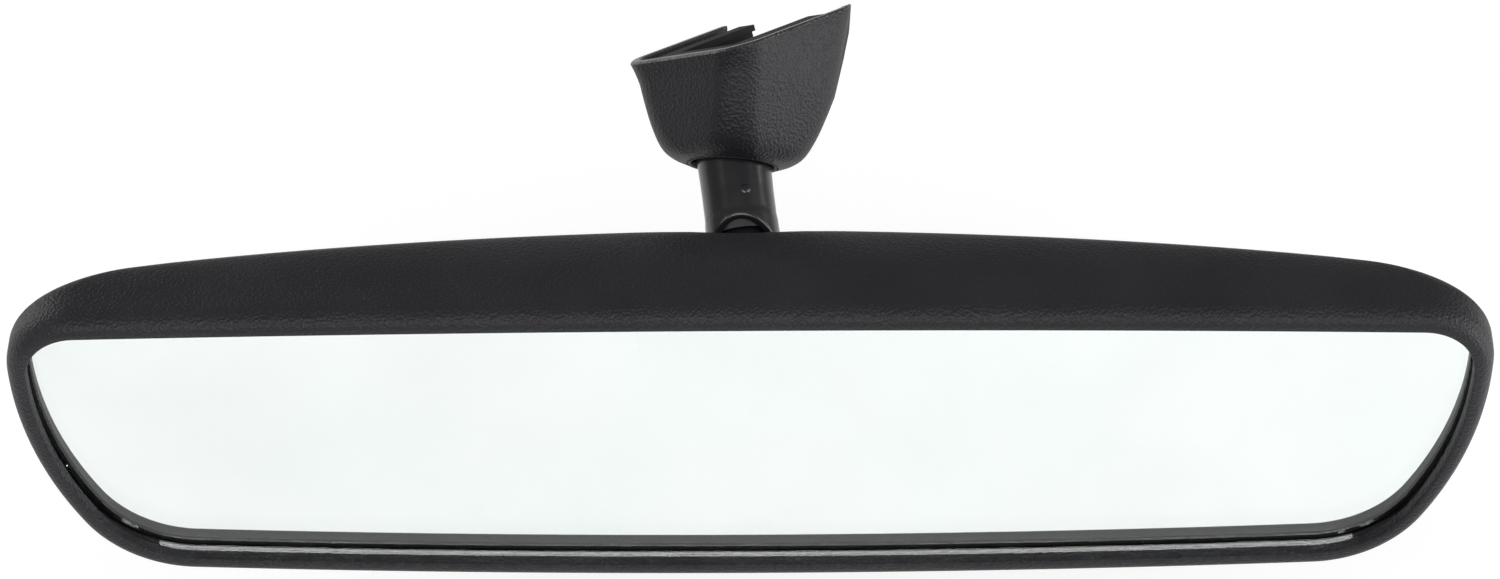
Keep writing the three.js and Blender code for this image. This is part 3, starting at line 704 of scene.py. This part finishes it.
def ball_joints():
    """Both balls, their liners and their seats."""
    ball_stud("upper_ball", MOUNT, "upper_stud", "upper_ball_stud", UPPER_FLANGE, UPPER_SHANK_END)
    ball_stud("lower_ball", LOWER_STUD, "lower_stud", "lower_ball_stud", LOWER_FLANGE, LOWER_SHANK_END)
    ball_liner("upper_liner_cup", UPPER_END, "upper_liner", "upper_ball_liner")
    ball_liner("lower_liner_cup", STEM, "lower_liner", "lower_ball_liner")
    ball_seat("upper_seat_cup", UPPER_END, "upper_ball_seat")
    ball_seat("lower_seat_cup", STEM, "lower_ball_seat")


# ------------------------------------------------------------------ stem


def notch_height(angle):
    """How high the stem's lower edge stands at an angle round it."""
    x = STEM_END * math.cos(angle - NOTCH_TURN)
    y = STEM_END * math.sin(angle - NOTCH_TURN)
    if y > 0 or abs(x) >= NOTCH_HALF_WIDTH:
        return -STEM_LIP
    spring_line = NOTCH_APEX - NOTCH_HALF_WIDTH
    return spring_line + math.sqrt(NOTCH_HALF_WIDTH**2 - x**2)


def stem_angles():
    """Angles round the stem, close together at the notch's two sides."""
    side = math.asin(NOTCH_HALF_WIDTH / STEM_END)
    step = math.radians(1.5)
    plain = [step * i for i in range(round(2 * math.pi / step))]
    middle = NOTCH_TURN - math.pi / 2
    close = [middle + s * side + d * 0.0015 for s in (-1, 1) for d in (-1, 0, 1)]
    return sorted({round(a % (2 * math.pi), 6) for a in plain + close})


def stem_radius(z):
    """The stem's outside radius at a height."""
    if z < STEM_TAPER_START:
        return STEM_END
    if z < STEM_TAPER_END:
        share = (z - STEM_TAPER_START) / (STEM_TAPER_END - STEM_TAPER_START)
        return STEM_END + (STEM_WAIST + STEM_TAPER_STEP - STEM_END) * share
    if z < STEM_LENGTH - STEM_SWELL_START:
        return STEM_WAIST
    share = min(1, (z - STEM_LENGTH + STEM_SWELL_START) / STEM_SWELL_LENGTH)
    return STEM_WAIST + (STEM_TOP - STEM_WAIST) * share


def bore_radius(z):
    """The stem's inside radius at a height: it closes round each ball."""
    reach = min(abs(z), abs(STEM_LENGTH - z))
    beyond = z < 0 or z > STEM_LENGTH
    if beyond:
        return math.sqrt(max(0, LINER_INNER**2 - reach**2))
    return LINER_INNER + (STEM_BORE - LINER_INNER) * min(1, reach / BORE_BLEND)


def stem_tube():
    """The tube, as columns round it: up the outside from its lower edge, over the top and down the bore."""
    top = STEM_LENGTH + STEM_LIP
    edge = STEM_EDGE
    columns = []
    for angle in stem_angles():
        out = Vector((math.cos(angle), math.sin(angle), 0))
        foot = notch_height(angle)
        column = []
        for i in range(5):
            turn = math.pi / 2 * i / 4
            radius = stem_radius(foot + edge) - edge * (1 - math.sin(turn))
            column.append(out * radius + Vector((0, 0, foot + edge * (1 - math.cos(turn)))))
        heights = [foot + edge + (top - 2 * edge - foot) * i / 30 for i in range(1, 31)]
        column += [out * stem_radius(z) + Vector((0, 0, z)) for z in heights]
        column.append(out * (STEM_TOP - edge) + Vector((0, 0, top)))
        inner = [top - (top - foot) * i / 30 for i in range(31)]
        column += [out * bore_radius(z) + Vector((0, 0, z)) for z in inner]
        columns.append(column)
    skin = loft(columns, closed=True)
    finished("stem_sleeve", *skin, STEM, SMOOTH, "stem", "smooth_black", ["stem_tube"], crease=50)


def stem_mark():
    """A small plain moulded dot on the front of the stem."""
    rings = []
    angles = [2 * math.pi * k / 32 for k in range(32)]
    for i in range(6):
        tilt = math.pi / 2 * i / 6
        wide = DOT_RADIUS * math.cos(tilt)
        rise = DOT_RISE * math.sin(tilt)
        ring = []
        for a in angles:
            x = wide * math.cos(a) + DOT_SIDE
            y = -math.sqrt(STEM_WAIST**2 - x**2) - rise + DOT_SUNK
            ring.append((x, y, DOT_HEIGHT + wide * math.sin(a)))
        rings.append(ring)
    finished("stem_dot", *loft(rings, caps=True), STEM, SMOOTH, "stem", "smooth_black")


def stem_spring():
    """The compression spring between the seats."""
    low = SEAT_FLOOR + SPRING_CLEARANCE + SPRING_WIRE
    high = STEM_LENGTH - SEAT_FLOOR - SPRING_CLEARANCE - SPRING_WIRE
    steps = 120
    path = []
    for i in range(steps + 1):
        part = i / steps
        angle = 2 * math.pi * SPRING_TURNS * part
        path.append((SPRING_COIL * math.cos(angle), SPRING_COIL * math.sin(angle), low + (high - low) * part))
    finished("spring_coil", *sweep(path, SPRING_WIRE), STEM, SPRING, "stem", "spring_steel", ["stem_spring"])


# ------------------------------------------------------------------ windscreen mount


def rounded_square(side, corner, steps=40):
    """(x, y) round a square with round corners, with extra points along its flats."""
    flat = side / 2 - corner
    points = []
    for quadrant, (i, k) in enumerate(((1, 1), (-1, 1), (-1, -1), (1, -1))):
        for s in range(steps + 1):
            angle = math.pi / 2 * (quadrant + s / steps)
            points.append((i * flat + corner * math.cos(angle), k * flat + corner * math.sin(angle)))
        start = points[-1]
        nxt = ((-1, 1), (-1, -1), (1, -1), (1, 1))[quadrant]
        angle = math.pi / 2 * (quadrant + 1)
        end = (nxt[0] * flat + corner * math.cos(angle), nxt[1] * flat + corner * math.sin(angle))
        flat_steps = steps + 20
        for s in range(1, flat_steps):
            part = s / flat_steps
            points.append(tuple(a + (b - a) * part for a, b in zip(start, end)))
    return points


def smooth_between(values, position):
    """A smooth value at a position along a list, through every entry."""
    last = len(values) - 1
    index = min(int(position), last - 1)
    t = position - index
    a, b = values[index], values[index + 1]
    before = values[max(index - 1, 0)]
    after = values[min(index + 2, last)]
    slope_a, slope_b = (b - before) / 2, (after - a) / 2
    return (
        (2 * t**3 - 3 * t**2 + 1) * a
        + (t**3 - 2 * t**2 + t) * slope_a
        + (-2 * t**3 + 3 * t**2) * b
        + (t**3 - t**2) * slope_b
    )


def rim_height(x, y, lower=0.0):
    """The height of the cup's rim at a place round it, with its low stretch where the button comes in."""
    along = y / math.cos(SLANT)
    past = min(1, max(0, (along - ENTRY_START) / ENTRY_BLEND + 0.5))
    inside = min(1, max(0, (ENTRY_EDGE - x) / ENTRY_BLEND + 0.5))
    drop = ENTRY_DROP / math.cos(SLANT) * past * inside
    return RIM_Z + math.tan(SLANT) * y - drop - lower


def cup_ring(inset, position):
    """A ring of the cup's side at a place along its list of sections."""
    height, side, corner = (smooth_between([s[k] for s in CUP_SECTIONS], position) for k in range(3))
    lift = inset * (1 - position / len(CUP_SECTIONS))
    points = rounded_square(side - 2 * inset, max(1.2, corner - inset))
    return [(x, y, HOLE_Z + height + lift) for x, y in points]


def mouth_ring(inset, share, lower):
    """A ring of the cup's upper side, from its last section at share 0 to its rim at share 1."""
    base = CUP_SECTIONS[-1]
    side = base[1] + (MOUTH_SIDE - base[1]) * share
    points = rounded_square(side - 2 * inset, max(1.2, MOUTH_CORNER - inset))
    start = HOLE_Z + base[0]
    return [(x, y, start + (rim_height(x, y, lower) - start) * share) for x, y in points]


def hole_ring(radius, z):
    """A round ring about the cup's hole, with a point for each point of its sides."""
    ring = []
    for x, y in rounded_square(2 * radius, radius * 0.999):
        angle = math.atan2(y, x)
        ring.append((radius * math.cos(angle), radius * math.sin(angle), z))
    return ring


def mount_cover():
    """The flared cup: inside wall, hole with its bead, rounded foot, sides and rounded rim."""
    edge = RIM_EDGE
    last = len(CUP_SECTIONS) - 1
    inside = [mouth_ring(CUP_WALL, s, edge) for s in (1, 0.75, 0.5, 0.25)]
    inside += [cup_ring(CUP_WALL, p) for p in (5, 4, 3, 2)]
    foot = [hole_ring(HOLE_RADIUS + out, HOLE_Z + rise) for out, rise in HOLE_PROFILE]
    side = [cup_ring(0, last * i / 24) for i in range(25)]
    side += [mouth_ring(0, s / 6, edge) for s in range(1, 7)]
    rim = []
    for i in range(1, 6):
        turn = math.pi / 2 * i / 6
        rim.append(mouth_ring(edge * (1 - math.cos(turn)), 1, edge * (1 - math.sin(turn))))
    rim.append(mouth_ring(edge, 1, 0))
    rim.append(mouth_ring(CUP_WALL - edge, 1, 0))
    for i in range(1, 5):
        turn = math.pi / 2 * i / 5
        rim.append(mouth_ring(CUP_WALL - edge * (1 - math.sin(turn)), 1, edge * (1 - math.cos(turn))))
    skin = loft([*inside, *foot, *side, *rim], closed=True)
    finished("mount_cup", *skin, MOUNT, CUP, "mount", "grained_black", ["mount_cover"])


# ------------------------------------------------------------------ pieces shown as their CAD nodes

CARRIED = {
    "mount_bracket": (CASTING, 0.25),
    "button_spring": (SPRING, 0),
    "cover_clip_left": (SPRING, 0.08),
    "cover_clip_right": (SPRING, 0.08),
    "upper_stud_nut": (STEEL, 0.2),
    "upper_stud_washer": (STEEL, 0.1),
    "lower_stud_nut": (STEEL, 0.2),
    "lower_stud_washer": (STEEL, 0.1),
    "stud_plate": (STEEL, 0.15),
    "glass_carrier": (INNER, 0.2),
    "foam_pad": (FOAM, 0.15),
}


def carried_nodes():
    """Materials and small edge rounds for the CAD nodes that stay as they are."""
    screws = {f"plate_screw_{i}": (STEEL, 0.1) for i in range(1, 5)}
    for node, (material, width) in {**CARRIED, **screws}.items():
        paint(node, material)
        if width:
            soften(node, width)


# ------------------------------------------------------------------ studio

LIGHTS = (  # name, place from the head's middle in metres, width, height, power
    ("front_light", (-0.05, -0.93, 0.98), 1.05, 0.45, 10),
    ("front_left_light", (-0.95, -0.6, 0.8), 0.35, 0.35, 2),
    ("front_right_light", (1.05, -0.42, 0.75), 0.4, 0.4, 4.5),
    ("right_light", (1.1, 0, 0.12), 0.6, 0.6, 6),
    ("back_left_light", (-0.9, 0.75, 0.3), 0.4, 0.4, 3),
)

# The camera's direction from the head, and its distance and lens in metres and millimetres.
CAMERA_AZIMUTH = math.radians(1.6)
CAMERA_ELEVATION = math.radians(44)
CAMERA_ROLL = math.radians(-1.4)
CAMERA_DISTANCE = 0.9
CAMERA_LENS = 126.6
CAMERA_SENSOR = 36
CAMERA_AIM_UP = 0.0285

FLOOR_DROP = 0.16
FLOOR_GLOW = 0.22
SKY_STRENGTH = 0.3


def floor():
    """A plain pale floor well below the mirror."""
    size = 6
    level = cad_box[0].z - FLOOR_DROP
    mesh = bpy.data.meshes.new("floor")
    corners = [(-size, -size, level), (size, -size, level), (size, size, level), (-size, size, level)]
    mesh.from_pydata(corners, [], [(0, 1, 2, 3)])
    material, nodes, links, shader, place = tree("pale_floor")
    broad = noise(nodes, links, place, 3)
    links.new(ramp(nodes, links, broad, (0.93, 0.93, 0.93), (0.95, 0.95, 0.95)), shader.inputs["Base Color"])
    shader.inputs["Emission Color"].default_value = (1, 1, 1, 1)
    shader.inputs["Emission Strength"].default_value = FLOOR_GLOW
    shader.inputs["Roughness"].default_value = 0.9
    shader.inputs["Specular IOR Level"].default_value = 0.1
    mesh.materials.append(material)
    piece = bpy.data.objects.new("floor", mesh)
    bpy.context.scene.collection.objects.link(piece)


def softbox(name, place, target, wide, tall, power):
    """A rectangular area light that faces a point."""
    light = bpy.data.lights.new(name, "AREA")
    light.shape = "RECTANGLE"
    light.size = wide
    light.size_y = tall
    light.energy = power
    lamp = bpy.data.objects.new(name, light)
    lamp.location = place
    lamp.rotation_euler = (Vector(target) - Vector(place)).to_track_quat("-Z", "Y").to_euler()
    bpy.context.scene.collection.objects.link(lamp)


def studio():
    """Soft white light: three above the front, one level with the right side, a faint one behind."""
    world = bpy.data.worlds.new("studio")
    world.use_nodes = True
    sky = world.node_tree.nodes["Background"]
    sky.inputs["Color"].default_value = (1, 1, 1, 1)
    sky.inputs["Strength"].default_value = SKY_STRENGTH
    bpy.context.scene.world = world
    middle = HEAD @ Vector((0, 15, 0))
    for name, offset, wide, tall, power in LIGHTS:
        softbox(name, middle + Vector(offset), middle, wide, tall, power)
    bpy.context.scene.view_settings.view_transform = "Standard"


def camera():
    """A long lens in front of the mirror and well above it, framed close round it."""
    level = math.cos(CAMERA_ELEVATION)
    across = math.sin(CAMERA_AZIMUTH)
    along = math.cos(CAMERA_AZIMUTH)
    back = Vector((across * level, -along * level, math.sin(CAMERA_ELEVATION)))
    flat = Vector((along, across, 0))
    upright = back.cross(flat)
    up = upright * math.cos(CAMERA_ROLL) - flat * math.sin(CAMERA_ROLL)
    target = HEAD @ Vector((0, 0, 0))
    place = target + back * CAMERA_DISTANCE
    back = (place - target - up * CAMERA_AIM_UP).normalized()
    right = up.cross(back).normalized()
    up = back.cross(right)
    data = bpy.data.cameras.new("camera")
    data.lens = CAMERA_LENS
    data.sensor_width = CAMERA_SENSOR
    data.clip_start = 0.01
    view = bpy.data.objects.new("camera", data)
    view.matrix_world = Matrix.Translation(place) @ Matrix((right, up, back)).transposed().to_4x4()
    bpy.context.scene.collection.objects.link(view)
    bpy.context.scene.camera = view


# ------------------------------------------------------------------ build

mirror_case()
mirror_glass()
silvered_back()
ball_joints()
stem_tube()
stem_mark()
stem_spring()
mount_cover()
carried_nodes()
floor()
studio()
camera()
